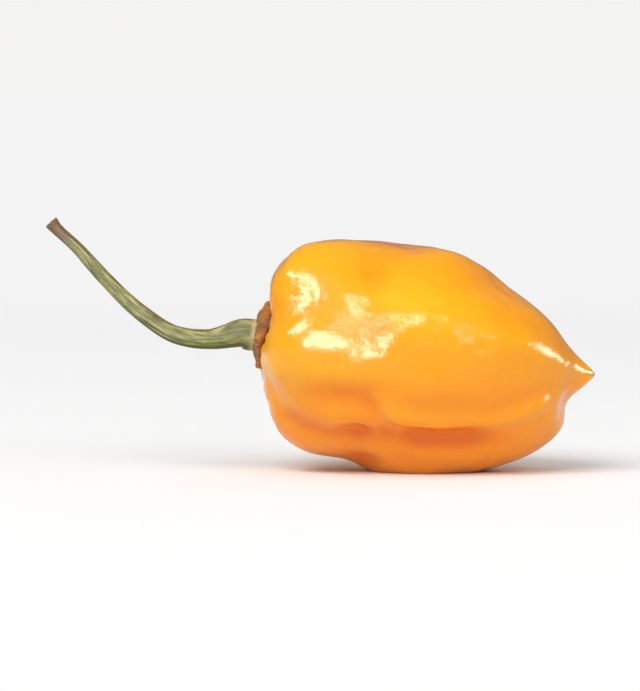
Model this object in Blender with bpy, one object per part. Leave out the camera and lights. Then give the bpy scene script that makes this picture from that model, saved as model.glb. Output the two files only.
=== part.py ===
"""A ripe orange habanero pepper as picked, lying on its side: pod, calyx and stem.

Frame: metres, +Z up, the tip towards +X and the stem towards -X. The origin is in the middle of the
small flat spot that the pod rests on, and the front of the pod faces -Y.

The pod has a frame of its own for its shape: u runs along its axis to the tip, f to the front and
n up, all from the pod's centre. The axis dips by TIP_DIP degrees towards the tip.
"""

import bmesh
import bpy
import numpy as np

MM = 0.001

# Driving dimensions
POD_LENGTH = 45.3 * MM  # from the flat of the shoulder to the tip
POD_GIRTH = 31.0 * MM  # mean thickness across the axis
TIP_DIP = 7.1  # degrees that the tip points down
POD_CENTRE = np.array((0.7, -0.4, 16.3)) * MM  # above the flat spot's middle
CALYX_RADIUS = 4.5 * MM
CALYX_THICKNESS = 2.0 * MM
CALYX_TEETH = 5
CALYX_BOSS_RADIUS = 3.4 * MM  # the flat middle that the stem stands on
STEM_RADIUS = 1.4 * MM  # at the middle of its length
CLEARANCE = 0.3 * MM  # between pieces that touch

# How fine the solids are
POD_SEGMENTS, POD_RINGS = 80, 50
CALYX_SEGMENTS, CALYX_RINGS = 40, 14
STEM_STEPS = 4  # path points for each stretch between two stations
POLE_CROWDING = 0.35  # share by which the rings close up towards the tip and the shoulder

# Lobes are long ellipsoids that lean in to the tip. A mean lobe's half length, radius and distance out
LOBE_HALF_LENGTH = 0.44 * POD_LENGTH
LOBE_RADIUS = 0.335 * POD_GIRTH
LOBE_OFFSET = 0.155 * POD_GIRTH
LOBE_BLEND = 1.6 * MM  # softness of the valleys where lobes meet

# name: angle round the axis (0 front, 90 up), shift along in mm, distance out, (length, depth, width), lean.
# The distance out and the sizes are factors of the mean lobe's, and the lean is in degrees.
LOBES = {
    "front": (-7, -1.9, 0.92, (1.04, 1.02, 1.06), 9),
    "front_top": (56, -3.0, 0.92, (0.98, 1.00, 1.01), 13),
    "back_top": (128, -3.5, 1.00, (0.98, 0.96, 0.96), 12),
    "back": (205, -3.0, 1.04, (1.03, 0.98, 1.01), 10),
    "under": (272, -0.5, 1.29, (1.05, 1.02, 0.93), 4),
    "core": (0, -4.0, 0.00, (0.93, 1.22, 1.22), 0),
}

# The drawn-out tip: its height, and the angle off the axis at which it has mostly died away
TIP_HEIGHT = 3.6 * MM
TIP_SPREAD = 7.0

# Dents and bumps on the skin, in mm: middle (u, f, n), half sizes (u, f, n), turn in degrees, height
BELLS = {
    "shoulder_top": ((-18, 3, 12), (5.5, 8, 4.5), 0, 0.75),
    "shoulder_front": ((-21.5, 5, 5), (4, 6, 3.4), 0, 0.2),
    "shoulder_cheek": ((-21.5, 5.5, -2.4), (4, 5, 3.0), 0, 1.05),
    "shoulder_low": ((-21.4, 3, -7), (3.6, 6, 3), 0, 0.45),
    "saddle": ((-6.5, 3, 14.5), (4.8, 6, 4), 0, -0.9),
    "saddle_front": ((-9, 10, 10.5), (3.6, 5, 3.2), 0, -0.75),
    "front_dimple": ((-7.8, 14, 3.3), (3.6, 6, 3.6), 0, -0.6),
    "top_hump": ((1, 1, 14.5), (4.2, 8, 3.5), 0, 0.4),
    "top_slope": ((9, 1, 11.5), (5.5, 8, 4), -28, -0.9),
    "foot_left": ((-16, 3, -14.5), (4.2, 7, 3.5), 0, 0.75),
    "foot_gap": ((-7.2, 4, -16), (4.0, 5, 3.5), 0, -1.5),
    "foot_mid": ((3, 1, -17), (5.0, 8, 3.5), 0, 0.7),
    "heel": ((-2.9, -3, -15.5), (4.3, 5, 4), 0, 1.7),
    "notch": ((20.6, 1, -4.6), (2, 5, 2.4), 0, -1.4),
    "seat": ((-23, 0, 0), (4.5, 9, 7.5), 0, -2.1),
    "cheek_dent": ((-11.0, 13, -6.0), (5.4, 6, 2.9), 6, -1.05),
    "cheek_tail": ((-6.4, 13, -8.2), (3.0, 6, 1.8), -30, -0.5),
    "cheek_brow": ((-11.6, 13, -3.9), (5, 6, 1.4), 6, 0.4),
    "back_dent": ((-7, -14, 5), (6, 6, 3.2), 8, -0.9),
    "back_dimple": ((6, -12, -3), (4.5, 6, 3), -15, -0.7),
    "back_bump": ((3, -12, 7), (4, 5, 4), 0, 0.5),
}

# Grooves and ridges on the skin, in mm: places (u, f, n) along each, half width, height
FOLDS = {
    "low_groove": (
        ((-13, 9, -11.6), (-7, 9.5, -11.8), (-0.5, 10, -11.4), (6, 9.5, -10.7), (12, 8, -9)),
        2.2,
        -0.7,
    ),
    "low_groove_end": (((-21, 4, -7.5), (-18, 8, -10), (-13, 9.5, -11.8), (-8, 10, -12.2)), 3.0, 1.2),
    "low_hollow": (((-4, 9.5, -11.4), (1, 10, -11.2), (6, 9.5, -10.6), (11, 8.5, -9.6)), 2.0, -0.9),
    "low_right_fill": (((9, 9, -9.5), (13, 8, -8), (16.5, 6, -6.2), (19.5, 4, -4.5)), 2.4, 0.6),
    "low_fold": (
        (
            (-6.1, 13.5, -6.2),
            (-3.6, 13, -8.4),
            (0, 12.5, -8.8),
            (6, 12, -8.2),
            (10.5, 10.5, -7.3),
            (14.4, 8, -5.1),
            (18, 5, -3),
        ),
        1.05,
        0.8,
    ),
    "left_crease": (
        ((-20, 6, -9.4), (-17.1, 8, -10.8), (-13.6, 9, -11.7), (-9.3, 9.5, -11.5), (-5.0, 10, -11.0)),
        1.5,
        -1.0,
    ),
    "tip_ridge": (
        ((3, 14, 4.8), (9, 12, 4.3), (14.2, 9.5, 3.6), (16.6, 8, 2.4), (18.9, 6, 1.3), (21.5, 2.5, 0.4)),
        1.8,
        0.45,
    ),
    "back_groove": (((-17, -9, -10), (-8, -10, -12), (1, -9, -12.5), (10, -7, -10), (17, -3, -6)), 2.2, -0.6),
    "back_seam": (((-18, -11, 6), (-9, -13, 8), (1, -11, 9), (11, -7, 7)), 2.4, -0.9),
    "top_seam": (((-21, -1, 9), (-14, -2, 14), (-5, -2, 14.5), (5, -2, 12.5)), 2.2, -0.5),
}
FOLD_DEPTH_WEIGHT = 0.25  # a fold's places are set in the side view, so depth counts less in its distance
FOLD_END_FADE = 0.8  # stretches over which a fold dies away at its ends

# The stem's middle line to its cut end, in mm from the pod's centre: (x, y, z), and its radius there as
# a factor of the mid radius
STEM_STATIONS = (
    ((-29.3, 0.5, 2.0), 1.00),
    ((-32.5, 0.8, 2.1), 0.91),
    ((-36.0, 1.3, 3.2), 0.84),
    ((-40.2, 2.0, 6.2), 0.76),
    ((-44.4, 2.9, 10.2), 0.66),
    ((-47.8, 3.8, 13.9), 0.61),
    ((-50.8, 4.6, 16.7), 0.59),
    ((-51.8, 4.8, 17.8), 0.70),
)
STEM_FOOT_FACTOR = 1.65  # the flared foot on the calyx, as a factor of the mid radius
STEM_NECK_FACTOR = 1.34
STEM_NECK_LENGTH = 1.8 * MM  # from the foot's face to the neck
STEM_FOOT_SAG = 0.35 * MM  # how far the foot and the neck hang below the pod's axis

COLOURS = {
    "pod": ((0.95, 0.34, 0.02), 0.22),
    "calyx": ((0.23, 0.11, 0.035), 0.7),
    "stem": ((0.33, 0.37, 0.13), 0.55),
}


def clear_scene():
    for obj in list(bpy.data.objects):
        bpy.data.objects.remove(obj, do_unlink=True)


def make_material(name):
    colour, roughness = COLOURS[name]
    material = bpy.data.materials.new(name)
    material.use_nodes = True
    shader = material.node_tree.nodes["Principled BSDF"]
    shader.inputs["Base Color"].default_value = (*colour, 1)
    shader.inputs["Roughness"].default_value = roughness
    shader.inputs["Metallic"].default_value = 0
    return material


def add_object(name, data, collection):
    data.materials.append(make_material(name))
    obj = bpy.data.objects.new(name, data)
    collection.objects.link(obj)
    return obj


def spline(places, at):
    """Catmull-Rom curve through the places, at parameters that count the places from 0."""
    places = np.asarray(places, float)
    ends = np.vstack([2 * places[0] - places[1], places, 2 * places[-1] - places[-2]])
    start = np.clip(at.astype(int), 0, len(places) - 2)
    t = (at - start)[:, None]
    a, b, c, d = (ends[start + i] for i in range(4))
    return b + 0.5 * t * (c - a + t * (2 * a - 5 * b + 4 * c - d + t * (3 * (b - c) + d - a)))


def lobe_reach(directions, angle, shift, out, sizes, lean):
    """Distance from the pod's centre to the far side of one lobe's ellipsoid."""
    angle, lean = np.radians(angle), np.radians(lean)
    outward = np.array((0, np.cos(angle), np.sin(angle)))
    across = np.array((0, -np.sin(angle), np.cos(angle)))
    axis = np.array((1, 0, 0))
    frame = np.stack(
        [np.cos(lean) * axis - np.sin(lean) * outward, np.sin(lean) * axis + np.cos(lean) * outward, across]
    )
    half_sizes = np.array((LOBE_HALF_LENGTH, LOBE_RADIUS, LOBE_RADIUS)) * sizes
    middle = frame @ (shift * MM * axis + out * LOBE_OFFSET * outward) / half_sizes
    scaled = directions @ frame.T / half_sizes
    square = (scaled**2).sum(-1)
    along = scaled @ middle
    inside = middle @ middle - 1
    return (along + np.sqrt(np.maximum(along**2 - square * inside, 0))) / square


def bell(points, middle, half_sizes, turn):
    """1 at the middle, falling off as a Gauss curve over the half sizes."""
    offset = points - np.array(middle) * MM
    turn = np.radians(turn)
    u = offset[..., 0] * np.cos(turn) + offset[..., 2] * np.sin(turn)
    n = offset[..., 2] * np.cos(turn) - offset[..., 0] * np.sin(turn)
    scaled = np.stack([u, offset[..., 1], n], -1) / (np.array(half_sizes) * MM)
    return np.exp(-(scaled**2).sum(-1))


def fold(points, places, half_width):
    """1 along a smooth line through the places, falling off to its sides and towards its ends."""
    last = len(places) - 1
    at = np.linspace(0, last, 10 * len(places))
    nearest = np.full(points.shape[:-1], np.inf)
    where = np.zeros(points.shape[:-1])
    for parameter, place in zip(at, spline(places, at) * MM):
        offset = points - place
        distance = offset[..., 0] ** 2 + FOLD_DEPTH_WEIGHT * offset[..., 1] ** 2 + offset[..., 2] ** 2
        where = np.where(distance < nearest, parameter, where)
        nearest = np.minimum(distance, nearest)
    fade = np.clip(np.minimum(where, last - where) / FOLD_END_FADE, 0.25, 1)
    return fade * np.exp(-nearest / (half_width * MM) ** 2)


def pod_radius(directions):
    """Distance from the pod's centre to its skin: the lobes blended, the tip, then dents and folds."""
    reach = np.stack([lobe_reach(directions, *lobe) for lobe in LOBES.values()])
    largest = reach.max(0)
    radius = largest + LOBE_BLEND * np.log(np.exp((reach - largest) / LOBE_BLEND).sum(0))
    off_axis = np.degrees(np.arccos(np.clip(directions[..., 0], -1, 1)))
    radius = radius + TIP_HEIGHT * np.exp(-((off_axis / TIP_SPREAD) ** 1.3))
    points = directions * radius[..., None]
    relief = np.zeros_like(radius)
    for middle, half_sizes, turn, height in BELLS.values():
        relief += height * MM * bell(points, middle, half_sizes, turn)
    for places, half_width, height in FOLDS.values():
        relief += height * MM * fold(points, places, half_width)
    return radius + relief


def to_world(points):
    """From the pod's frame (u, f, n) to the world."""
    dip = np.radians(TIP_DIP)
    u, f, n = points[..., 0], points[..., 1], points[..., 2]
    turned = (u * np.cos(dip) + n * np.sin(dip), -f, n * np.cos(dip) - u * np.sin(dip))
    return np.stack(turned, -1) + POD_CENTRE


def sphere_mesh(segments, rings):
    """A bmesh sphere of radius 1, and its points turned so that its poles lie along u."""
    mesh = bmesh.new()
    bmesh.ops.create_uvsphere(mesh, u_segments=segments, v_segments=rings, radius=1)
    points = np.array([vertex.co for vertex in mesh.verts])
    return mesh, np.stack([points[:, 2], -points[:, 0], points[:, 1]], -1)


def finish_mesh(name, mesh, points):
    """Move the bmesh's vertices to the points and make it a smooth-shaded Mesh."""
    for vertex, point in zip(mesh.verts, points):
        vertex.co = point
    data = bpy.data.meshes.new(name)
    mesh.to_mesh(data)
    mesh.free()
    data.shade_smooth()
    return data


def make_pod(collection):
    mesh, sphere = sphere_mesh(POD_SEGMENTS, POD_RINGS)
    polar = np.arccos(np.clip(sphere[:, 0], -1, 1))
    crowded = polar - POLE_CROWDING / 2 * np.sin(2 * polar)
    ring = np.hypot(sphere[:, 1], sphere[:, 2])
    spread = np.where(ring > 1e-6, np.sin(crowded) / np.maximum(ring, 1e-6), 0)
    directions = np.stack([np.cos(crowded), sphere[:, 1] * spread, sphere[:, 2] * spread], -1)
    skin = to_world(directions * pod_radius(directions)[:, None])
    data = finish_mesh("pod", mesh, skin)
    flatten_foot(data)
    return add_object("pod", data, collection)


def flatten_foot(data):
    """Cut the pod off level at the surface it lies on, and close the cut with one flat face."""
    mesh = bmesh.new()
    mesh.from_mesh(data)
    everything = mesh.verts[:] + mesh.edges[:] + mesh.faces[:]
    bmesh.ops.bisect_plane(mesh, geom=everything, plane_co=(0, 0, 0), plane_no=(0, 0, 1), clear_inner=True)
    rim = [edge for edge in mesh.edges if edge.is_boundary]
    bmesh.ops.edgeloop_fill(mesh, edges=rim)
    bmesh.ops.recalc_face_normals(mesh, faces=mesh.faces[:])
    mesh.to_mesh(data)
    mesh.free()
    data.set_sharp_from_angle(angle=np.radians(35))


def calyx_edge(turn):
    """The calyx's radius round its axis: blunt teeth of uneven length."""
    teeth = 0.08 * np.cos(CALYX_TEETH * turn + 0.6)
    uneven = 0.05 * np.cos(2 * turn + 1.1) + 0.025 * np.cos(9 * turn)
    return CALYX_RADIUS * (1 + teeth + uneven)


def seat_height(across):
    """How far the pod's shoulder stands from its centre, against the axis, for places across the axis."""
    reach = np.full(across.shape[:-1], POD_LENGTH / 2)
    for _ in range(6):
        away = np.concatenate([-reach[..., None], across], -1)
        length = np.linalg.norm(away, axis=-1)
        reach = reach * pod_radius(away / length[..., None]) / length
    return reach


def stem_face():
    """How far the calyx's flat middle stands from the pod's centre, against the axis."""
    return seat_height(np.zeros((1, 2)))[0] + CLEARANCE + 1.25 * CALYX_THICKNESS


def make_calyx(collection):
    """A ragged dish that follows the shoulder, with a flat middle: a sphere pressed on to the pod."""
    mesh, sphere = sphere_mesh(CALYX_SEGMENTS, CALYX_RINGS)
    turn = np.arctan2(sphere[:, 2], sphere[:, 1])
    out = np.clip(np.hypot(sphere[:, 1], sphere[:, 2]), 0, 1) ** 0.6
    radius = calyx_edge(turn) * out
    across = np.stack([np.cos(turn), np.sin(turn)], -1) * radius[:, None]
    outer_side = np.clip(-sphere[:, 0], -1, 1)
    lift = 0.5 + 0.5 * np.sign(outer_side) * np.abs(outer_side) ** 0.5
    height = seat_height(across) + CLEARANCE + CALYX_THICKNESS * (1 - 0.24 * out**2) * lift
    flat = np.exp(-((radius / CALYX_BOSS_RADIUS) ** 8)) * (outer_side > 0)
    height = height * (1 - flat) + stem_face() * flat
    points = to_world(np.concatenate([-height[:, None], across], -1))
    return add_object("calyx", finish_mesh("calyx", mesh, points), collection)


def make_stem(collection):
    """A round bent stalk with a flared foot that faces the calyx's flat middle."""
    foot = stem_face() + CLEARANCE
    line = [to_world(np.array((-out, 0, -STEM_FOOT_SAG))) for out in (foot, foot + STEM_NECK_LENGTH)]
    line += [POD_CENTRE + np.array(place) * MM for place, _ in STEM_STATIONS]
    factors = [STEM_FOOT_FACTOR, STEM_NECK_FACTOR] + [factor for _, factor in STEM_STATIONS]
    at = np.linspace(0, len(line) - 1, STEM_STEPS * (len(line) - 1) + 1)

    curve = bpy.data.curves.new("stem", "CURVE")
    curve.dimensions = "3D"
    curve.bevel_depth = STEM_RADIUS
    curve.bevel_resolution = 4
    curve.use_fill_caps = True
    stalk = curve.splines.new("POLY")
    stalk.points.add(len(at) - 1)
    for point, (*place, factor) in zip(stalk.points, spline(np.column_stack([line, factors]), at)):
        point.co = (*place, 1)
        point.radius = factor
    stalk.use_smooth = True
    return add_object("stem", curve, collection)


def main():
    clear_scene()
    collection = bpy.data.collections.new("habanero_pepper")
    bpy.context.scene.collection.children.link(collection)
    make_pod(collection)
    make_calyx(collection)
    make_stem(collection)


main()
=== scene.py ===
import math

import bpy
import numpy as np
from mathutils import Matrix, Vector


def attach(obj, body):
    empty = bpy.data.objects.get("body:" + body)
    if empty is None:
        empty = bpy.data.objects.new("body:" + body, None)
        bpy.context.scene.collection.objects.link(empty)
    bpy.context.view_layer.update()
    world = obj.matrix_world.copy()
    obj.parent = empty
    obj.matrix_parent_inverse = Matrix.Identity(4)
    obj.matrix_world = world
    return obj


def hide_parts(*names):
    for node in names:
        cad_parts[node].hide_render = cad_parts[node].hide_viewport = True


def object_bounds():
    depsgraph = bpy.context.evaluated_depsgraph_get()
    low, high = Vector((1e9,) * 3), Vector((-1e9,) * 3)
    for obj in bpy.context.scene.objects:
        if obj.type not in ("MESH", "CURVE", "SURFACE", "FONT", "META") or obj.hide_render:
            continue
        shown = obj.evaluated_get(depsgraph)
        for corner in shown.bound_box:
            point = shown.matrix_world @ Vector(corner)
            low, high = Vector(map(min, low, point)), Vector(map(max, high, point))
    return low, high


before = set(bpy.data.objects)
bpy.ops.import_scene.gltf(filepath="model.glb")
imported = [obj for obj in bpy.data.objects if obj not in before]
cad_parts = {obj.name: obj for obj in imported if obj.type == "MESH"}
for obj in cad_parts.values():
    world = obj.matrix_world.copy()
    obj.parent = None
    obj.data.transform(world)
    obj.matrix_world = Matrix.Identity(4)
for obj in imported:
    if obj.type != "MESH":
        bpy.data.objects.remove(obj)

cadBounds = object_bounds()   # the box round the CAD model's pieces; the box that the visual model has to stay in

# A habanero pepper lying on its side: glossy lobed pod, dried calyx, bent green stem.
# The pod is worked out in its own frame, from its centre: u along its axis to the tip, f to the front
# and n up. Shapes are given in millimetres, and in degrees unless a note says radians.

mm = 0.001


# helpers for every shape

def spline(places, at):
    # Catmull-Rom curve through the places, at parameters that count the places from 0
    places = np.asarray(places, float)
    ends = np.vstack([2 * places[0] - places[1], places, 2 * places[-1] - places[-2]])
    start = np.clip(at.astype(int), 0, len(places) - 2)
    t = (at - start)[:, None]
    a, b, c, d = (ends[start + i] for i in range(4))
    return b + 0.5 * t * (c - a + t * (2 * a - 5 * b + 4 * c - d + t * (3 * (b - c) + d - a)))


def waves(points, length, height, count, seed):
    # plane sine waves in drawn directions, scaled by the root of two over their number: a soft random
    # field that strays from nothing by about the height
    draw = np.random.default_rng(seed)
    total = np.zeros(points.shape[:-1])
    for _ in range(count):
        direction = draw.normal(size=3)
        direction *= 2 * math.pi / (length * np.linalg.norm(direction))
        total += np.sin(points @ direction + draw.uniform(0, 2 * math.pi))
    return height * total * math.sqrt(2 / count)


def smoothStep(low, high, value):
    # 0 below low, 1 above high, 3t^2 - 2t^3 between
    t = np.clip((value - low) / (high - low), 0, 1)
    return t * t * (3 - 2 * t)


def cosines(turn, parts):
    # sum of cosine waves round a turn: how many, start in radians, height
    return sum(height * np.cos(count * turn + start) for count, start, height in parts)


def hump(value, middle, halfWidth):
    # 1 at the middle, falling off as a Gauss curve
    return np.exp(-((value - middle) / halfWidth) ** 2)


def gridFaces(rows, columns):
    # quads of a grid that closes on itself along its columns, rows running from one pole to the other
    index = np.arange(rows * columns).reshape(rows, columns)
    a, b = index[:-1], index[1:]
    return np.stack([a, np.roll(a, -1, 1), np.roll(b, -1, 1), b], -1).reshape(-1, 4)


def closedGrid(name, rings, firstPole, lastPole, attributes):
    # a mesh from rings of points (rows, columns, 3), in metres, closed at both ends by a fan to a pole;
    # each attribute is its values on the rings, at the first pole and at the last
    rows, columns = rings.shape[:2]
    points = np.vstack([rings.reshape(-1, 3), firstPole, lastPole])
    first, last = rows * columns, rows * columns + 1
    around = np.arange(columns)
    after = np.roll(around, -1)
    base = (rows - 1) * columns
    faces = gridFaces(rows, columns).tolist()
    faces += np.stack([np.full(columns, first), after, around], -1).tolist()
    faces += np.stack([np.full(columns, last), base + around, base + after], -1).tolist()
    mesh = bpy.data.meshes.new(name)
    mesh.from_pydata(points.tolist(), [], faces)
    mesh.update()
    for key, (values, firstValue, lastValue) in attributes.items():
        values = np.asarray(values)
        if values.ndim == 2:
            layer = mesh.attributes.new(key, "FLOAT", "POINT")
            layer.data.foreach_set("value", np.append(values.ravel(), [firstValue, lastValue]))
        else:
            layer = mesh.attributes.new(key, "FLOAT_VECTOR", "POINT")
            vectors = np.vstack([values.reshape(-1, 3), firstValue, lastValue])
            layer.data.foreach_set("vector", vectors.ravel())
    mesh.shade_smooth()
    piece = bpy.data.objects.new(name, mesh)
    bpy.context.scene.collection.objects.link(piece)
    return piece


# shape: the pod

pod = {
    "dip": 7.1,               # how far the tip points down
    "centre": (0.7, -0.4, 16.3),   # x, y, z
    "blend": 1.6,             # softness of the valleys between lobes
    "tipHeight": 3.6,
    "tipSpread": 7.0,         # angle off the axis at which the drawn-out tip has mostly died away
    "tipFall": 1.3,           # power of that angle in the tip's fall
    "turns": 300,             # points round the axis
    "rings": 250,             # points from tip to shoulder
    "crowding": 0.35,         # how much the rings close up at the tip and the shoulder
    "tintReach": 16,          # steps over which a hollow or a crown is told from its surroundings
    "restEdge": 0.12,         # how softly the skin rolls on to the surface it lies on
    "grainPull": 2,           # length of the streaks' coordinate from the tip to the shoulder
}

# long ellipsoids that lean in to the tip: angle round the axis (0 front, 90 up), shift along the axis,
# distance out, half sizes (length, depth, width), and lean
lobes = {
    "front": (-7, -1.9, 4.42, (20.73, 10.59, 11.0), 9),
    "frontTop": (56, -3.0, 4.42, (19.53, 10.39, 10.49), 13),
    "backTop": (128, -3.5, 4.81, (19.53, 9.97, 9.97), 12),
    "back": (205, -3.0, 5.00, (20.53, 10.18, 10.49), 10),
    "under": (272, -0.5, 6.20, (20.93, 10.59, 9.66), 4),
    "core": (0, -4.0, 0.0, (18.54, 12.67, 12.67), 0),
}

# dents and bumps: middle (u, f, n), half sizes (u, f, n), turn in the side view, height
bells = {
    "shoulderTop": ((-18, 3, 12), (5.5, 8, 4.5), 0, 0.75),
    "shoulderFront": ((-21.5, 5, 5), (4, 6, 3.4), 0, 0.2),
    "shoulderCheek": ((-21.5, 5.5, -2.4), (4, 5, 3.0), 0, 1.05),
    "shoulderLow": ((-21.4, 3, -7), (3.6, 6, 3), 0, 0.45),
    "saddle": ((-6.5, 3, 14.5), (4.8, 6, 4), 0, -0.9),
    "saddleFront": ((-9, 10, 10.5), (3.6, 5, 3.2), 0, -0.75),
    "frontDimple": ((-7.8, 14, 3.3), (3.6, 6, 3.6), 0, -0.6),
    "topHump": ((1, 1, 14.5), (4.2, 8, 3.5), 0, 0.4),
    "topSlope": ((9, 1, 11.5), (5.5, 8, 4), -28, -0.9),
    "footLeft": ((-16, 3, -14.5), (4.2, 7, 3.5), 0, 0.75),
    "footGap": ((-7.2, 4, -16), (4.0, 5, 3.5), 0, -1.5),
    "footMid": ((3, 1, -17), (5.0, 8, 3.5), 0, 0.7),
    "heel": ((-2.9, -3, -15.5), (4.3, 5, 4), 0, 1.7),
    "notch": ((20.6, 1, -4.6), (2, 5, 2.4), 0, -1.4),
    "seat": ((-23, 0, 0), (4.5, 9, 7.5), 0, -2.1),
    "cheekDent": ((-11.0, 13, -6.0), (5.4, 6, 2.9), 6, -1.05),
    "cheekTail": ((-6.4, 13, -8.2), (3.0, 6, 1.8), -30, -0.5),
    "cheekBrow": ((-11.6, 13, -3.9), (5, 6, 1.4), 6, 0.4),
    "backDent": ((-7, -14, 5), (6, 6, 3.2), 8, -0.9),
    "backDimple": ((6, -12, -3), (4.5, 6, 3), -15, -0.7),
    "backBump": ((3, -12, 7), (4, 5, 4), 0, 0.5),
}

# grooves and ridges: places (u, f, n) along each, half width, height
folds = {
    "lowGroove": (
        ((-13, 9, -11.6), (-7, 9.5, -11.8), (-0.5, 10, -11.4), (6, 9.5, -10.7), (12, 8, -9)),
        2.2, -0.7),
    "lowGrooveEnd": (((-21, 4, -7.5), (-18, 8, -10), (-13, 9.5, -11.8), (-8, 10, -12.2)), 3.0, 1.2),
    "lowHollow": (((-4, 9.5, -11.4), (1, 10, -11.2), (6, 9.5, -10.6), (11, 8.5, -9.6)), 2.0, -0.9),
    "lowRightFill": (((9, 9, -9.5), (13, 8, -8), (16.5, 6, -6.2), (19.5, 4, -4.5)), 2.4, 0.6),
    "lowFold": (
        ((-6.1, 13.5, -6.2), (-3.6, 13, -8.4), (0, 12.5, -8.8), (6, 12, -8.2), (10.5, 10.5, -7.3),
         (14.4, 8, -5.1), (18, 5, -3)),
        1.05, 0.8),
    "tipRidge": (
        ((3, 14, 4.8), (9, 12, 4.3), (14.2, 9.5, 3.6), (16.6, 8, 2.4), (18.9, 6, 1.3), (21.5, 2.5, 0.4)),
        1.8, 0.45),
    "leftCrease": (
        ((-20, 6, -9.4), (-17.1, 8, -10.8), (-13.6, 9, -11.7), (-9.3, 9.5, -11.5), (-5.0, 10, -11.0)),
        1.5, -1.0),
    "backGroove": (
        ((-17, -9, -10), (-8, -10, -12), (1, -9, -12.5), (10, -7, -10), (17, -3, -6)),
        2.2, -0.6),
    "backSeam": (((-18, -11, 6), (-9, -13, 8), (1, -11, 9), (11, -7, 7)), 2.4, -0.9),
    "topSeam": (((-21, -1, 9), (-14, -2, 14), (-5, -2, 14.5), (5, -2, 12.5)), 2.2, -0.5),
}

foldDepthWeight = 0.25   # a fold's places are set in the side view, so depth counts less in its distance
foldSteps = 10           # points tried along a fold for each of its places
foldEndFade = 0.8        # stretches between places over which a fold dies away at its ends
foldEndShare = 0.25      # what is left of a fold at its very ends

# painted light: where the skin is painted yellower, as if lit more strongly: middle (u, f, n), half sizes
# and turn of a bell
paintedLightSpot = ((-2.5, 13, 6.5), (10.5, 9, 5.0), -6)

# uneven skin: fields of crossed sine waves with these lengths and heights
skinWaves = (
    {"length": 9.0, "height": 0.165, "count": 12, "seed": 819},
    {"length": 5.0, "height": 0.059, "count": 16, "seed": 184},
    {"length": 2.8, "height": 0.0235, "count": 20, "seed": 236},
    {"length": 1.5, "height": 0.003, "count": 24, "seed": 9},
)
skinCalm = {
    "tip": 0.12,              # share of the way to the shoulder over which the waves grow from nothing
    "shoulder": 0.10,         # and over which they die away again
    "taut": (9, 15),          # places along the axis between which the skin grows taut
    "tautShare": 0.7,         # how much of the waves the taut skin loses
}

# pleats of the skin round the calyx
pleats = {
    "count": 17,
    "height": 0.10,
    "spread": 3.5,            # how far off the calyx's rim they have mostly died away
    "reach": -15,             # only nearer to the shoulder than this place along the axis
    "swayCount": 3,           # how many times round the calyx they come closer and part
    "sway": 1.5,              # by how many radians
}


def lobeReach(directions, angle, shift, out, sizes, lean):
    # distance from the centre to the far side of one ellipsoid, along each direction
    angle, lean = math.radians(angle), math.radians(lean)
    axis = np.array((1.0, 0, 0))
    outward = np.array((0, math.cos(angle), math.sin(angle)))
    across = np.array((0, -math.sin(angle), math.cos(angle)))
    turned = np.stack([math.cos(lean) * axis - math.sin(lean) * outward,
                       math.sin(lean) * axis + math.cos(lean) * outward, across])
    middle = turned @ (shift * axis + out * outward) / sizes
    scaled = directions @ turned.T / np.array(sizes)
    square = (scaled ** 2).sum(-1)
    along = scaled @ middle
    return (along + np.sqrt(np.maximum(along ** 2 - square * (middle @ middle - 1), 0))) / square


def bell(points, middle, sizes, turn):
    # 1 at the middle, falling off as a Gauss curve over the half sizes
    offset = points - np.array(middle)
    turn = math.radians(turn)
    u = offset[..., 0] * math.cos(turn) + offset[..., 2] * math.sin(turn)
    n = offset[..., 2] * math.cos(turn) - offset[..., 0] * math.sin(turn)
    return np.exp(-(u / sizes[0]) ** 2 - (offset[..., 1] / sizes[1]) ** 2 - (n / sizes[2]) ** 2)


def fold(points, places, halfWidth):
    # 1 along a smooth line through the places, falling off to its sides and towards its ends
    last = len(places) - 1
    at = np.linspace(0, last, foldSteps * len(places))
    nearest = np.full(points.shape[:-1], np.inf)
    where = np.zeros(points.shape[:-1])
    for parameter, place in zip(at, spline(places, at)):
        offset = points - place
        distance = offset[..., 0] ** 2 + foldDepthWeight * offset[..., 1] ** 2 + offset[..., 2] ** 2
        where = np.where(distance < nearest, parameter, where)
        nearest = np.minimum(distance, nearest)
    fade = np.clip(np.minimum(where, last - where) / foldEndFade, foldEndShare, 1)
    return fade * np.exp(-nearest / halfWidth ** 2)


def podRadius(directions):
    # distance to the skin: lobes joined by a soft maximum, the drawn-out tip, then dents and folds
    reach = np.stack([lobeReach(directions, *lobe) for lobe in lobes.values()])
    largest = reach.max(0)
    radius = largest + pod["blend"] * np.log(np.exp((reach - largest) / pod["blend"]).sum(0))
    offAxis = np.degrees(np.arccos(np.clip(directions[..., 0], -1, 1)))
    radius = radius + pod["tipHeight"] * np.exp(-(offAxis / pod["tipSpread"]) ** pod["tipFall"])
    points = directions * radius[..., None]
    relief = np.zeros_like(radius)
    for middle, sizes, turn, height in bells.values():
        relief += height * bell(points, middle, sizes, turn)
    for places, halfWidth, height in folds.values():
        relief += height * fold(points, places, halfWidth)
    return radius + relief


def toWorld(points):
    # from the pod's frame in millimetres to the world in metres
    dip = math.radians(pod["dip"])
    u, f, n = points[..., 0], points[..., 1], points[..., 2]
    x, z = u * math.cos(dip) + n * math.sin(dip), n * math.cos(dip) - u * math.sin(dip)
    return (np.stack([x, -f, z], -1) + np.array(pod["centre"])) * mm


def surroundings(values, reach):
    # mean of each value's neighbours, as far as reach steps along the axis and round it
    padded = np.pad(values, ((reach, reach), (0, 0)), "edge")
    along = sum(padded[i:i + len(values)] for i in range(2 * reach + 1)) / (2 * reach + 1)
    return sum(np.roll(along, i, 1) for i in range(-reach, reach + 1)) / (2 * reach + 1)


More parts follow.
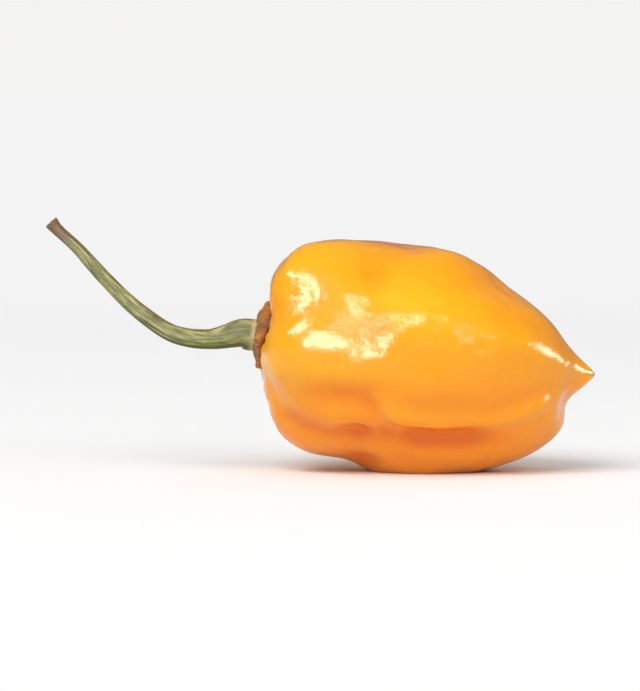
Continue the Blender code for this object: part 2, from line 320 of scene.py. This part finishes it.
def makePod():
    # angle off the axis and angle round it give a direction, and the radius there gives the skin
    share = np.linspace(0, 1, pod["rings"] + 2)
    polar = share * math.pi
    polar = polar - pod["crowding"] / 2 * np.sin(2 * polar)
    turn = np.linspace(0, 2 * math.pi, pod["turns"], endpoint=False)
    grid, around = np.meshgrid(polar, turn, indexing="ij")
    directions = np.stack([np.cos(grid), np.sin(grid) * np.cos(around), np.sin(grid) * np.sin(around)], -1)
    radius = podRadius(directions)
    points = directions * radius[..., None]
    # how far each point lies below its surroundings, and how near the left crease: they place painted shade
    # in hollows and the crease, and painted light on crowns
    hollow = surroundings(radius, pod["tintReach"]) - radius
    creaseShade = fold(points, *folds["leftCrease"][:2])
    # a patch of painted light: skin painted yellower as if lit more strongly
    paintedLight = bell(points, *paintedLightSpot)

    # the waves die away at both poles, and are weaker on the taut skin towards the tip
    calm = smoothStep(0, skinCalm["tip"], share) * smoothStep(0, skinCalm["shoulder"], 1 - share)
    calm = calm[:, None] * (1 - skinCalm["tautShare"] * smoothStep(*skinCalm["taut"], points[..., 0]))
    for wave in skinWaves:
        radius = radius + calm * waves(points, **wave)
    offRim = np.hypot(points[..., 1], points[..., 2]) - calyx["radius"]
    nearSeat = hump(offRim, 0, pleats["spread"]) * (points[..., 0] < pleats["reach"])
    swaying = pleats["count"] * around + pleats["sway"] * np.sin(pleats["swayCount"] * around)
    radius = radius + pleats["height"] * nearSeat * np.cos(swaying)

    # soft floor at height 0: rest times log(1 + exp(z / rest)), which is z itself well above it
    skin = toWorld(directions * radius[..., None])
    rest = pod["restEdge"] * mm
    skin[..., 2] = rest * np.logaddexp(0, skin[..., 2] / rest)
    along = np.broadcast_to(share[:, None], hollow.shape)
    flow = np.stack([pod["grainPull"] * along, directions[..., 1], directions[..., 2]], -1)
    poles = skin[0].mean(0), skin[-1].mean(0)
    attributes = {
        "hollow": (hollow[1:-1], 0, 0),
        "creaseShade": (creaseShade[1:-1], 0, 0),
        "paintedLight": (paintedLight[1:-1], 0, 0),
        "along": (along[1:-1], 0, 1),
        "flow": (flow[1:-1], (0, 0, 0), (pod["grainPull"], 0, 0)),
    }
    return closedGrid("pod_skin", skin[1:-1], poles[0], poles[1], attributes)


# shape: the calyx

calyx = {
    "radius": 4.5,
    "thickness": 2.0,
    "gap": 0.12,              # off the pod's skin
    "cadGap": 0.3,            # the CAD model's gaps beneath the calyx and on top of it, kept in the heights
    "seatGuess": 22.0,        # first guess of how far the shoulder stands from the pod's centre
    "seatSteps": 6,           # steps in which the skin beneath is found from that guess
    "bossRadius": 3.4,        # flat middle that the stem stands on
    "bossHeight": 1.25,       # height of that flat middle, as a share of the thickness
    "bossEdge": 8,            # power that makes the flat middle's edge steep
    "roundness": 0.6,         # power that moves the rings out towards the rim
    "puff": 0.5,              # power that fills out the rounding of the rim
    "thinning": 0.24,         # share of the thickness lost towards the rim
    # waves round the edge: how many, start in radians, height as a share of the radius
    "edge": (
        (5, 0.6, 0.08), (2, 1.1, 0.05), (9, 0, 0.025), (23, 2, 0.012), (37, 0, 0.010), (61, 1, 0.006)),
    # ribs that run out to the teeth: how many, start in radians, height
    "ribs": ((5, 0.6, 0.10), (15, 1.0, 0.05)),
    "wrinkle": {"length": 1.1, "height": 0.045, "count": 14, "seed": 21},
    "curl": {"length": 5.0, "height": 0.10, "count": 6, "seed": 4},
    # where they grow, as shares of the way from the middle to the rim
    "ribZone": (0.3, 0.75),
    "wrinkleZone": (0.55, 1.0),
    "curlZone": (0.8, 1.0),
    "reliefEnd": -0.2,        # and how far round the rim they reach: 1 is on top, 0 the rim, -1 beneath
    "turns": 240,
    "rings": 72,
}


def seatHeight(across):
    # how far the shoulder stands from the pod's centre against the axis, found by stepping on to the skin
    reach = np.full(across.shape[:-1], calyx["seatGuess"])
    for _ in range(calyx["seatSteps"]):
        away = np.concatenate([-reach[..., None], across], -1)
        length = np.linalg.norm(away, axis=-1)
        reach = reach * podRadius(away / length[..., None]) / length
    return reach


def stemFace():
    # how far the calyx's flat middle stands from the pod's centre
    return seatHeight(np.zeros((1, 2)))[0] + calyx["cadGap"] + calyx["bossHeight"] * calyx["thickness"]


def makeCalyx():
    # a dish pressed on to the shoulder: one parameter runs from its middle over the rim and back beneath,
    # the other round it, backwards so that the faces point out
    side = np.linspace(0, math.pi, calyx["rings"] + 2)
    turn = np.linspace(2 * math.pi, 0, calyx["turns"], endpoint=False)
    grid, around = np.meshgrid(side, turn, indexing="ij")
    out = np.sin(grid) ** calyx["roundness"]
    radius = calyx["radius"] * (1 + cosines(around, calyx["edge"])) * out
    across = np.stack([np.cos(around), np.sin(around)], -1) * radius[..., None]
    upper = np.cos(grid)
    lift = 0.5 + 0.5 * np.sign(upper) * np.abs(upper) ** calyx["puff"]
    thickness = calyx["thickness"] * (1 - calyx["thinning"] * out ** 2)
    height = seatHeight(across) + calyx["gap"] + thickness * lift
    flat = np.exp(-(radius / calyx["bossRadius"]) ** calyx["bossEdge"]) * (upper > 0)
    height = height * (1 - flat) + stemFace() * flat

    # fine relief: ribs outside the middle, wrinkles towards the rim, and the rim curling off the pod
    rim = smoothStep(*calyx["wrinkleZone"], out)
    ribs = cosines(around, calyx["ribs"])
    level = np.concatenate([across, 0 * across[..., :1]], -1)
    relief = ribs * smoothStep(*calyx["ribZone"], out) + rim * waves(level, **calyx["wrinkle"])
    curl = smoothStep(*calyx["curlZone"], out) * np.maximum(waves(level, **calyx["curl"]), 0)
    height = height + (relief + curl) * (upper > calyx["reliefEnd"])
    points = toWorld(np.concatenate([-height[..., None], across], -1))
    highest = sum(ribHeight for _, _, ribHeight in calyx["ribs"])
    attributes = {
        "rim": (rim[1:-1], 0, 0),
        "rib": ((ribs / highest)[1:-1], 0, 0),
    }
    poles = points[0].mean(0), points[-1].mean(0)
    return closedGrid("calyx_collar", points[1:-1], poles[0], poles[1], attributes)


# shape: the stem

# middle line of the stem from the pod's centre: (x, y, z), and its radius there
stemStations = (
    ((-29.3, 0.5, 2.0), 1.40),
    ((-32.5, 0.8, 2.1), 1.28),
    ((-36.0, 1.3, 3.2), 1.18),
    ((-40.2, 2.0, 6.2), 1.06),
    ((-44.4, 2.9, 10.2), 0.93),
    ((-47.8, 3.8, 13.9), 0.86),
    ((-50.8, 4.6, 16.7), 0.83),
    ((-51.8, 4.8, 17.8), 0.98),
)
stem = {
    "footRadius": 2.31,
    "neckRadius": 1.88,
    "neckLength": 1.8,
    "footSag": 0.35,          # how far the foot and the neck hang below the pod's axis
    "sink": 0.80,             # how far the foot reaches into the calyx, so that the two grow together
    "footTop": 0.35,          # where the foot begins to narrow, off its face
    "footTaper": 0.96,        # and its radius there, as a share
    "twist": 0.012,           # radians for each millimetre
    "ribs": 5,
    "ribHeight": 0.055,       # this and the next heights are shares of the radius
    # two sets of fibres: how many, how far they sway in radians, millimetres for each radian of that
    # swaying, and where in it they start
    "fibres": ((13, 0.9, 5, 0), (22, 1.3, 7, 1)),
    "fibreHeight": 0.022,
    "knots": {"length": 3.2, "height": 0.03, "count": 12, "seed": 13},   # soft swellings
    "knotPull": (0.5, 2, 2),  # their scales along and across the stem
    "pinch": (0.75, 0.28, 0.03),   # place along the stem, half width, depth
    "endFade": 6,             # ribs and fibres die away over this length before the cut
    # the cut's rings: share of the radius, and height over the cut
    "cutShares": (0.97, 0.90, 0.80, 0.66, 0.48, 0.28, 0.12),
    "cutHeights": (0.05, 0.06, 0.0, -0.10, -0.16, -0.14, -0.10),
    "cutWaves": 7,
    "cutWaveHeight": 0.03,
    "grainPull": 0.06,        # streaks' coordinate for each millimetre along the stem
    # what the paint reads: middle and half width along the stem of the vivid patch and of the foot's ring
    "moss": (6.5, 4.0),
    "ring": (0.8, 0.35),
    # where colours come in, told by how far the skin looks up: 1 on top, -1 below
    "mossSide": (0.35, -0.45),
    # where the painted shade beneath comes in
    "belowSide": (-0.55, -0.95),
    "topSide": (0.6, 0.95),
    "topPlace": (8, 16),      # and where along the stem its top gets painted shade with reddish bounce light, in brown
    "lineShares": (0.3, 0.2),      # how far ribs and fibres sway the paint's "rib" about its mean
    "cutRim": 0.9,            # how much of the pith's colour is lost at the rim of the cut
    "turns": 120,
    "steps": 44,              # points for each stretch between two stations
}


def stemLine():
    # the stations, headed by the flared foot and the neck, as (x, y, z, radius) rows in metres
    foot = stemFace() + calyx["cadGap"]
    starts = ((foot - stem["sink"], stem["footRadius"]),
              (foot + stem["footTop"], stem["footRadius"] * stem["footTaper"]),
              (foot + stem["neckLength"], stem["neckRadius"]))
    rows = [[*toWorld(np.array((-out, 0.0, -stem["footSag"]))), radius * mm] for out, radius in starts]
    centre = np.array(pod["centre"])
    rows += [[*(centre + place) * mm, radius * mm] for place, radius in stemStations]
    at = np.linspace(0, len(rows) - 1, stem["steps"] * (len(rows) - 1) + 1)
    return spline(rows, at)


def carriedFrames(line):
    # tangent at each point, and two directions square to it, the first of them square to the Y axis too;
    # the stem bends mostly in the XZ plane, so they turn with it and never flip
    tangent = np.gradient(line, axis=0)
    tangent /= np.linalg.norm(tangent, axis=1)[:, None]
    side = np.cross(tangent, (0.0, 1.0, 0.0))
    side /= np.linalg.norm(side, axis=1)[:, None]
    return tangent, side, np.cross(tangent, side)


def makeStem():
    # a profile carried along the middle line: length along it and angle round it, then the cut end's rings
    rows = stemLine()
    line, radius = rows[:, :3], rows[:, 3]
    tangent, side, other = carriedFrames(line)
    length = np.concatenate([[0], np.cumsum(np.linalg.norm(np.diff(line, axis=0), axis=1))])
    turn = np.linspace(0, 2 * math.pi, stem["turns"], endpoint=False)
    s, around = np.meshgrid(length / mm, turn, indexing="ij")
    twist = around + stem["twist"] * s
    ribs = np.cos(stem["ribs"] * twist)
    fibres = sum(0.5 * np.cos(count * twist + sway * np.sin(s / pace + start))
                 for count, sway, pace, start in stem["fibres"])
    tube = np.stack([s, np.cos(around), np.sin(around)], -1) * stem["knotPull"]
    place, halfWidth, depth = stem["pinch"]
    end = smoothStep(0, stem["endFade"], s[-1, 0] - s)
    lines = stem["ribHeight"] * ribs * end + stem["fibreHeight"] * fibres * end
    shape = 1 + lines + waves(tube, **stem["knots"]) - depth * hump(s, place, halfWidth)
    out = radius[:, None] * shape
    spokes = np.cos(around)[..., None] * side[:, None] + np.sin(around)[..., None] * other[:, None]
    body = line[:, None] + spokes * out[..., None]

    # the cut: a slightly rolled rim, then a shallow hollow of pith
    shares = np.array(stem["cutShares"])[:, None]
    heights = np.array(stem["cutHeights"])[:, None] * mm
    rolling = stem["cutWaveHeight"] * mm * np.cos(stem["cutWaves"] * turn) * shares
    lifts = tangent[-1] * (heights + rolling)[..., None]
    cap = line[-1] + spokes[-1] * (out[-1] * shares)[..., None] + lifts
    rings = np.concatenate([body, cap])

    # what the paint needs: how far along, which side, the patches, and how deep in the cut
    total = s[-1, 0]
    pull = stem["grainPull"]
    # how far the skin looks up: it places the painted shade beneath and on top
    upward = spokes[..., 2]
    moss = hump(s, *stem["moss"]) * smoothStep(*stem["mossSide"], upward)
    # painted shade with reddish bounce light along the top, from the middle on
    topShade = smoothStep(*stem["topSide"], upward) * smoothStep(*stem["topPlace"], s)
    ribShare, fibreShare = stem["lineShares"]
    blank = np.zeros((len(shares), len(turn)))
    flow = np.stack([pull * s, np.cos(twist), np.sin(twist)], -1)
    capFlow = np.stack([blank + pull * total, shares * np.cos(turn), shares * np.sin(turn)], -1)
    attributes = {
        "along": (np.concatenate([s / total, blank + 1]), 0, 1),
        "rib": (np.concatenate([0.5 + ribShare * ribs + fibreShare * fibres, blank + 0.5]), 0.5, 0.5),
        # painted shade beneath
        "shadeBelow": (np.concatenate([smoothStep(*stem["belowSide"], upward), blank]), 0, 0),
        # painted shade and bounce light on the top
        "topShade": (np.concatenate([topShade, blank]), 0, 0),
        "moss": (np.concatenate([moss, blank]), 0, 0),
        "ring": (np.concatenate([hump(s, *stem["ring"]), blank]), 0, 0),
        "cut": (np.concatenate([np.zeros_like(s), blank + 1 - stem["cutRim"] * shares ** 2]), 0, 1),
        "flow": (np.concatenate([flow, capFlow]), (0, 0, 0), (pull * total, 0, 0)),
    }
    poles = line[0], line[-1] + tangent[-1] * heights[-1]
    return closedGrid("stem_stalk", rings, poles[0], poles[1], attributes)


# materials

class Wire:
    # one output of a node; + - and * on it add Math nodes
    def __init__(self, paint, socket):
        self.paint, self.socket = paint, socket

    def __add__(self, other):
        return self.paint.maths("ADD", self, other)

    def __radd__(self, other):
        return self.paint.maths("ADD", other, self)

    def __sub__(self, other):
        return self.paint.maths("SUBTRACT", self, other)

    def __rsub__(self, other):
        return self.paint.maths("SUBTRACT", other, self)

    def __mul__(self, other):
        return self.paint.maths("MULTIPLY", self, other)

    def __rmul__(self, other):
        return self.paint.maths("MULTIPLY", other, self)


class Paint:
    # the nodes of one material or world, and short ways to add to them
    def __init__(self, owner, shader="Principled BSDF"):
        owner.use_nodes = True
        self.owner = owner
        self.nodes, self.links = owner.node_tree.nodes, owner.node_tree.links
        self.shader = self.nodes[shader]

    def node(self, kind, settings=None, sockets=None, output=0):
        # a node of any kind: its settings first, then the values or links of its sockets
        made = self.nodes.new(kind)
        for key, value in (settings or {}).items():
            setattr(made, key, value)
        for key, value in (sockets or {}).items():
            self.put(made.inputs[key], value)
        return Wire(self, made.outputs[output])

    def put(self, socket, value):
        if isinstance(value, Wire):
            self.links.new(value.socket, socket)
        else:
            socket.default_value = value

    def maths(self, operation, *values):
        return self.node("ShaderNodeMath", {"operation": operation}, dict(enumerate(values)))

    def ramp(self, value, low, high):
        # 0 at low, 1 at high, eased
        return self.node("ShaderNodeMapRange", {"interpolation_type": "SMOOTHSTEP"},
                         {"Value": value, "From Min": low, "From Max": high})

    def mask(self, value, limits, share):
        # a share of a value, eased between two limits where they are given
        return (self.ramp(value, *limits) if limits else value) * share

    def mix(self, share, first, second):
        return self.node("ShaderNodeMix", {"data_type": "RGBA"}, {0: share, 6: first, 7: second}, 2)

    def attribute(self, name, output="Fac"):
        return self.node("ShaderNodeAttribute", {"attribute_name": name}, output=output)

    def objectPlace(self):
        return self.node("ShaderNodeTexCoord", output="Object")

    def noises(self, finish):
        # each noise on the object's own coordinates, or on its grain stretched by the three factors
        made = {}
        for name, (factors, scale, detail, roughness) in finish["noises"].items():
            place = self.objectPlace()
            if factors:
                place = self.node("ShaderNodeVectorMath", {"operation": "MULTIPLY"},
                                  {0: self.attribute("flow", "Vector"), 1: factors})
            made[name] = self.node("ShaderNodeTexNoise", {}, {"Vector": place, "Scale": scale,
                                                              "Detail": detail, "Roughness": roughness})
        return made

    def colour(self, finish, values):
        # the base colour, and the layers over it one after another
        mixed = finish["colours"][finish["base"]]
        for name, key, limits, share in finish["layers"]:
            mixed = self.mix(self.mask(values[key], limits, share), mixed, finish["colours"][name])
        return mixed

    def roughness(self, finish, values):
        # the least roughness, and a share of each value that adds to it
        total, shares = finish["roughness"]
        for key, share in shares.items():
            total = total + share * values[key]
        return total

    def bumps(self, finish, values):
        # one bump over another
        normal = None
        for key, strength, depth in finish["bumps"]:
            sockets = {"Height": values[key], "Strength": strength, "Distance": depth}
            if normal is not None:
                sockets["Normal"] = normal
            normal = self.node("ShaderNodeBump", {}, sockets)
        return normal

    def finished(self, sockets):
        for key, value in sockets.items():
            self.put(self.shader.inputs[key], value)
        return self.owner

    def dressed(self, finish, values):
        # the material of a piece: what its values change, and the sockets that are the same all over
        return self.finished({
            "Base Color": self.colour(finish, values),
            "Roughness": self.roughness(finish, values),
            "Normal": self.bumps(finish, values),
            **finish["sockets"],
        })


# In each finish a noise is its stretch along and across the grain (or None), scale, detail and roughness.
# A layer is its colour, the value that it follows, that value's limits (or None) and its share, and a bump
# is the value that it follows, its strength and its depth in metres.

podFinish = {
    "noises": {
        "clouds": (None, 95, 3, 0.55),
        "streaks": ((0.9, 14, 14), 3.0, 4, 0.6),
        "speckle": (None, 1500, 2, 0.5),
        "peel": (None, 900, 2, 0.5),
        "fine": (None, 2200, 2, 0.5),
    },
    "colours": {
        # painted light: the lighter, yellower colour of the raised crowns
        "litCrown": (0.96, 0.415, 0.007, 1),
        "flesh": (0.95, 0.325, 0.004, 1),
        # painted light: the yellower colour of the lit patch
        "paintedLight": (0.97, 0.52, 0.008, 1),
        # painted shade: the darker, redder colour of hollows and the left crease
        "shadedGroove": (0.79, 0.145, 0.003, 1),
        # deeper orange: in random streaks, and as painted shade towards the bottom
        "under": (0.93, 0.285, 0.005, 1),
        "blush": (0.95, 0.43, 0.012, 1),
        "nearCalyx": (0.92, 0.42, 0.015, 1),
        "scar": (0.42, 0.20, 0.06, 1),
    },
    "cloudTint": 0.5,         # how much the clouds add to the painted light on crowns and the painted shade in hollows
    "cloudLow": 0.006,        # metres by which the clouds move the edge of the painted shade, redder and darker, beneath
    "hollowRed": ((0.1, 1.1), 0.85),   # limits and share of the painted shade, redder and darker, in hollows
    "creaseRed": ((0.15, 1.0), 0.6),   # and in the left crease
    "base": "flesh",
    "layers": (
        # painted light on the crowns
        ("litCrown", "lightShadeByRelief", (0.35, -0.55), 1),
        # painted light on the lit patch
        ("paintedLight", "paintedLight", None, 0.75),
        ("blush", "streaks", (0.52, 0.78), 0.35),
        ("under", "streaks", (0.48, 0.22), 0.25),
        # painted shade: redder and darker towards the bottom
        ("under", "low", (0.0165, 0.004), 0.9),
        # painted shade in the hollows and the left crease
        ("shadedGroove", "grooveShade", None, 1),
        ("blush", "speckle", (0.60, 0.78), 0.16),
        ("nearCalyx", "along", (0.925, 0.985), 0.55),
        ("scar", "along", (0.020, 0.004), 0.85),
    ),
    "roughness": (0.06, {"peel": 0.09, "clouds": 0.03}),
    "bumps": (("fine", 0.22, 0.0001), ("peel", 0.38, 0.0002), ("streaks", 0.12, 0.0004)),
    "sockets": {
        "Coat Weight": 0.14,
        "Coat Roughness": 0.38,
        "Coat IOR": 1.5,
        "Subsurface Weight": 0.12,
        "Subsurface Radius": (1.0, 0.32, 0.06),
        "Subsurface Scale": 0.0018,
        "Specular IOR Level": 0.42,
        "Specular Tint": (1.0, 0.96, 0.80, 1),
    },
}


def podPaint():
    # waxy orange skin with long faint streaks: painted light makes it yellower on the crowns and on a lit
    # patch, painted shade makes it redder and darker in the hollows, the left crease and beneath
    paint = Paint(bpy.data.materials.new("habanero_skin"))
    values = paint.noises(podFinish)
    clouds = values["clouds"] - 0.5
    height = paint.node("ShaderNodeSeparateXYZ", {}, {0: paint.objectPlace()}, 2)
    # the patch of painted light
    values["paintedLight"], values["along"] = paint.attribute("paintedLight"), paint.attribute("along")
    # height, which places the painted shade beneath
    values["low"] = height + clouds * podFinish["cloudLow"]
    # hollow depth, for painted light on crowns and painted shade in hollows
    values["lightShadeByRelief"] = paint.attribute("hollow") + clouds * podFinish["cloudTint"]
    inHollow = paint.mask(values["lightShadeByRelief"], *podFinish["hollowRed"])
    inCrease = paint.mask(paint.attribute("creaseShade"), *podFinish["creaseRed"])
    values["grooveShade"] = paint.maths("MAXIMUM", inHollow, inCrease)
    return paint.dressed(podFinish, values)


calyxFinish = {
    "noises": {
        "patches": (None, 420, 4, 0.6),
        "fibres": (None, 2400, 3, 0.6),
    },
    "colours": {
        "rim": (0.42, 0.140, 0.014, 1),
        "dark": (0.17, 0.046, 0.009, 1),
        "tan": (0.54, 0.26, 0.040, 1),
        "green": (0.20, 0.150, 0.045, 1),
    },
    "ribFibres": 0.15,        # how much the ribs add to the pale fibres
    "patchGreen": 0.9,        # how much the patches break up the green middle
    "base": "dark",
    "layers": (
        ("rim", "patches", (0.34, 0.62), 1),
        ("tan", "ribbed", (0.50, 0.78), 0.75),
        ("green", "outward", (0.45, 0.05), 0.8),
    ),
    "roughness": (0.47, {"fibres": 0.3}),
    "bumps": (("fibres", 0.55, 0.0003), ("patches", 0.5, 0.0006)),
    "sockets": {"Specular IOR Level": 0.35},
}


def calyxPaint():
    # dry brown collar, still green in its middle, with pale fibres running out to the teeth
    paint = Paint(bpy.data.materials.new("dry_calyx"))
    values = paint.noises(calyxFinish)
    values["ribbed"] = values["fibres"] + paint.attribute("rib") * calyxFinish["ribFibres"]
    values["outward"] = paint.attribute("rim") + (values["patches"] - 0.5) * calyxFinish["patchGreen"]
    return paint.dressed(calyxFinish, values)


stemFinish = {
    "noises": {
        "clouds": (None, 260, 3, 0.55),
        "threads": ((0.7, 2.4, 2.4), 3.0, 2, 0.5),
        "patches": ((2.2, 1.3, 1.3), 3.0, 2, 0.5),
        "blots": ((3.0, 1.2, 1.2), 2.3, 2, 0.5),
    },
    "colours": {
        "green": (0.175, 0.175, 0.036, 1),
        "pale": (0.47, 0.43, 0.175, 1),
        "vivid": (0.16, 0.24, 0.018, 1),
        # olive: in threads and blots, and as painted shade beneath
        "olive": (0.060, 0.050, 0.014, 1),
        # brown of the dry end, also used as painted shade and bounce light on the top
        "brown": (0.170, 0.085, 0.034, 1),
        "ring": (0.56, 0.38, 0.18, 1),
        "pith": (0.48, 0.41, 0.24, 1),
    },
    "ribPatches": 0.2,        # how much the ribs add to the pale patches
    "cloudDry": 0.25,         # how much the clouds break up the dry end
    "mossBlots": (0.30, 0.50),     # limits of the blots in the vivid patch
    "topClouds": (0.35, 0.6),      # limits of the clouds in the painted shade on the top
    "base": "green",
    "layers": (
        ("pale", "ribbed", (0.48, 0.80), 1),
        ("olive", "threads", (0.42, 0.66), 0.45),
        ("vivid", "moss", None, 1),
        ("olive", "blots", (0.48, 0.70), 0.7),
        # painted shade: olive underside
        ("olive", "shadeBelow", None, 0.8),
        # painted shade and bounce light on the top
        ("brown", "topShade", None, 0.7),
        ("ring", "ring", None, 0.9),
        ("brown", "dry", (0.80, 0.97), 0.9),
        ("pith", "cut", (0.15, 0.5), 1),
    ),
    "roughness": (0.40, {"patches": 0.2}),
    "bumps": (("threads", 0.4, 0.0001), ("clouds", 0.3, 0.0004)),
    "sockets": {
        "Specular IOR Level": 0.3,
        "Subsurface Weight": 0.06,
        "Subsurface Radius": (0.6, 1.0, 0.2),
        "Subsurface Scale": 0.001,
    },
}


def stemPaint():
    # satin green stalk, mottled pale and olive: painted shade makes it dark below, painted shade with
    # reddish bounce light makes it brown on top; a pale ring at the foot, brown towards the cut
    paint = Paint(bpy.data.materials.new("green_stalk"))
    values = paint.noises(stemFinish)
    for name in ("shadeBelow", "ring", "cut"):
        values[name] = paint.attribute(name)
    values["ribbed"] = values["patches"] + paint.attribute("rib") * stemFinish["ribPatches"]
    values["moss"] = paint.attribute("moss") * paint.ramp(values["blots"], *stemFinish["mossBlots"])
    # painted shade and bounce light on the top, broken up by clouds
    values["topShade"] = paint.attribute("topShade") * paint.ramp(values["clouds"], *stemFinish["topClouds"])
    values["dry"] = paint.attribute("along") + (values["clouds"] - 0.5) * stemFinish["cloudDry"]
    return paint.dressed(stemFinish, values)


# the pieces and what they stand for

def putOn(piece, material, node):
    piece.data.materials.append(material)
    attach(piece, "root")
    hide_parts(node)
    print("made", piece.name, len(piece.data.polygons), "faces")


putOn(makePod(), podPaint(), "pod")
putOn(makeCalyx(), calyxPaint(), "calyx")
putOn(makeStem(), stemPaint(), "stem")


# stage: a level pale floor that melts into the backdrop, lights and camera

stage = {
    "reach": 3.0,             # metres of floor each way
    "steps": 60,              # faces of the floor each way
    "colour": (0.88, 0.88, 0.88, 1),
    "fade": (0.10, 0.55),     # metres from its middle over which the floor melts into the backdrop
    "worldColour": (1.0, 0.995, 0.985, 1),
    "worldStrength": 0.24,    # light on the object from all round
    "backdrop": 0.90,         # brightness that the camera sees behind the object
    "mirrored": 0.30,         # share of that brightness which the far floor has for all but the camera
}

# soft boxes: turn and height of their direction (degrees, 0 behind the camera), width, height (metres),
# radiance, and whether they are seen in reflections only, or light the surfaces only
lights = {
    "leftShine": (-74, 32, 1.17, 0.33, 26, "shine"),
    "frontShine": (-27, 9.5, 1.69, 0.79, 20, "shine"),
    "upperShine": (4, 36, 1.22, 0.44, 14, "shine"),
    "smallShine": (2, 28, 0.18, 0.41, 16, "shine"),
    "sideShine": (45, 14, 0.80, 0.18, 14, "shine"),
    "tipShine": (99, 11, 1.40, 0.50, 15, "shine"),
    "keySheet": (-34, 46, 1.8, 1.4, 5.6, "fill"),
    "frontSheet": (34, 28, 2.0, 1.0, 2.4, "fill"),
    "topSheet": (-20, 72, 4.0, 3.4, 0.62, "fill"),
    "backSheet": (165, 40, 1.8, 1.2, 1.0, "fill"),
}
lightDistance = 2.5   # metres

view = {
    "elevation": 3.5,         # degrees above level
    "distance": 0.75,         # metres
    "nearest": 0.01,          # metres, where the camera begins to see
    "fill": 0.86,             # share of the picture's width that the object spans
    "pixels": (640, 691),
}


def makeFloor():
    # a level square sheet on a grid of two parameters, shaded as a floor near by and glowing far off
    side = np.linspace(-1, 1, stage["steps"] + 1) * stage["reach"]
    x, y = np.meshgrid(side, side, indexing="ij")
    points = np.stack([x, y, np.zeros_like(x)], -1).reshape(-1, 3)
    index = np.arange(x.size).reshape(x.shape)
    faces = np.stack([index[:-1, :-1], index[1:, :-1], index[1:, 1:], index[:-1, 1:]], -1).reshape(-1, 4)
    mesh = bpy.data.meshes.new("floor")
    mesh.from_pydata(points.tolist(), [], faces.tolist())
    floor = bpy.data.objects.new("floor", mesh)
    bpy.context.scene.collection.objects.link(floor)
    paint = Paint(bpy.data.materials.new("pale_floor"))
    away = paint.node("ShaderNodeVectorMath", {"operation": "LENGTH"}, {0: paint.objectPlace()}, 1)
    far = paint.ramp(away, *stage["fade"])
    seen = paint.node("ShaderNodeLightPath", output="Is Camera Ray")
    share = stage["mirrored"] + (1 - stage["mirrored"]) * seen
    black, backdrop = (0, 0, 0, 1), (stage["backdrop"],) * 3 + (1,)
    mesh.materials.append(paint.finished({
        "Base Color": paint.mix(far, stage["colour"], black),
        "Emission Color": paint.mix(far * share, black, backdrop),
        "Emission Strength": 1.0,
        "Roughness": 0.9,
        "Specular IOR Level": 0.0,
    }))


def makeSoftBox(name, turn, height, wide, high, radiance, use, target):
    # a flat lamp gives pi times its area times its radiance in watts
    lamp = bpy.data.lights.new(name, "AREA")
    lamp.shape = "RECTANGLE"
    lamp.size, lamp.size_y, lamp.energy = wide, high, math.pi * wide * high * radiance
    holder = bpy.data.objects.new(name, lamp)
    holder.visible_diffuse = use != "shine"
    holder.visible_glossy = use != "fill"
    bpy.context.scene.collection.objects.link(holder)
    turn, height = math.radians(turn), math.radians(height)
    level = math.cos(height)
    away = Vector((math.sin(turn) * level, -math.cos(turn) * level, math.sin(height)))
    holder.location = target + away * lightDistance
    holder.rotation_euler = away.to_track_quat("Z", "Y").to_euler()


def makeWorld():
    # bright backdrop to the camera, weaker as light on the object
    paint = Paint(bpy.data.worlds.new("studio"), "Background")
    seen = paint.node("ShaderNodeLightPath", output="Is Camera Ray")
    strength = stage["worldStrength"] + (stage["backdrop"] - stage["worldStrength"]) * seen
    bpy.context.scene.world = paint.finished({"Color": stage["worldColour"], "Strength": strength})


def makeCamera(low, high):
    # looks along +Y from slightly above; the lens makes the object span its share of the picture's width
    elevation = math.radians(view["elevation"])
    back = Vector((0, -math.cos(elevation), math.sin(elevation)))
    lens = bpy.data.cameras.new("camera")
    lens.sensor_fit = "AUTO"
    wide, tall = view["pixels"]
    shown = (high.x - low.x) / view["fill"] * tall / wide   # metres on the picture's long side
    lens.lens = lens.sensor_width * view["distance"] / shown
    lens.clip_start = view["nearest"]
    camera = bpy.data.objects.new("camera", lens)
    bpy.context.scene.collection.objects.link(camera)
    camera.location = (low + high) / 2 + back * view["distance"]
    camera.rotation_euler = (-back).to_track_quat("-Z", "Y").to_euler()
    bpy.context.scene.camera = camera


makeFloor()
makeWorld()
podMiddle = Vector(np.array(pod["centre"]) * mm)
for name, light in lights.items():
    makeSoftBox(name, *light, podMiddle)
makeCamera(*cadBounds)
bpy.context.scene.view_settings.view_transform = "Standard"
print("stage ready")
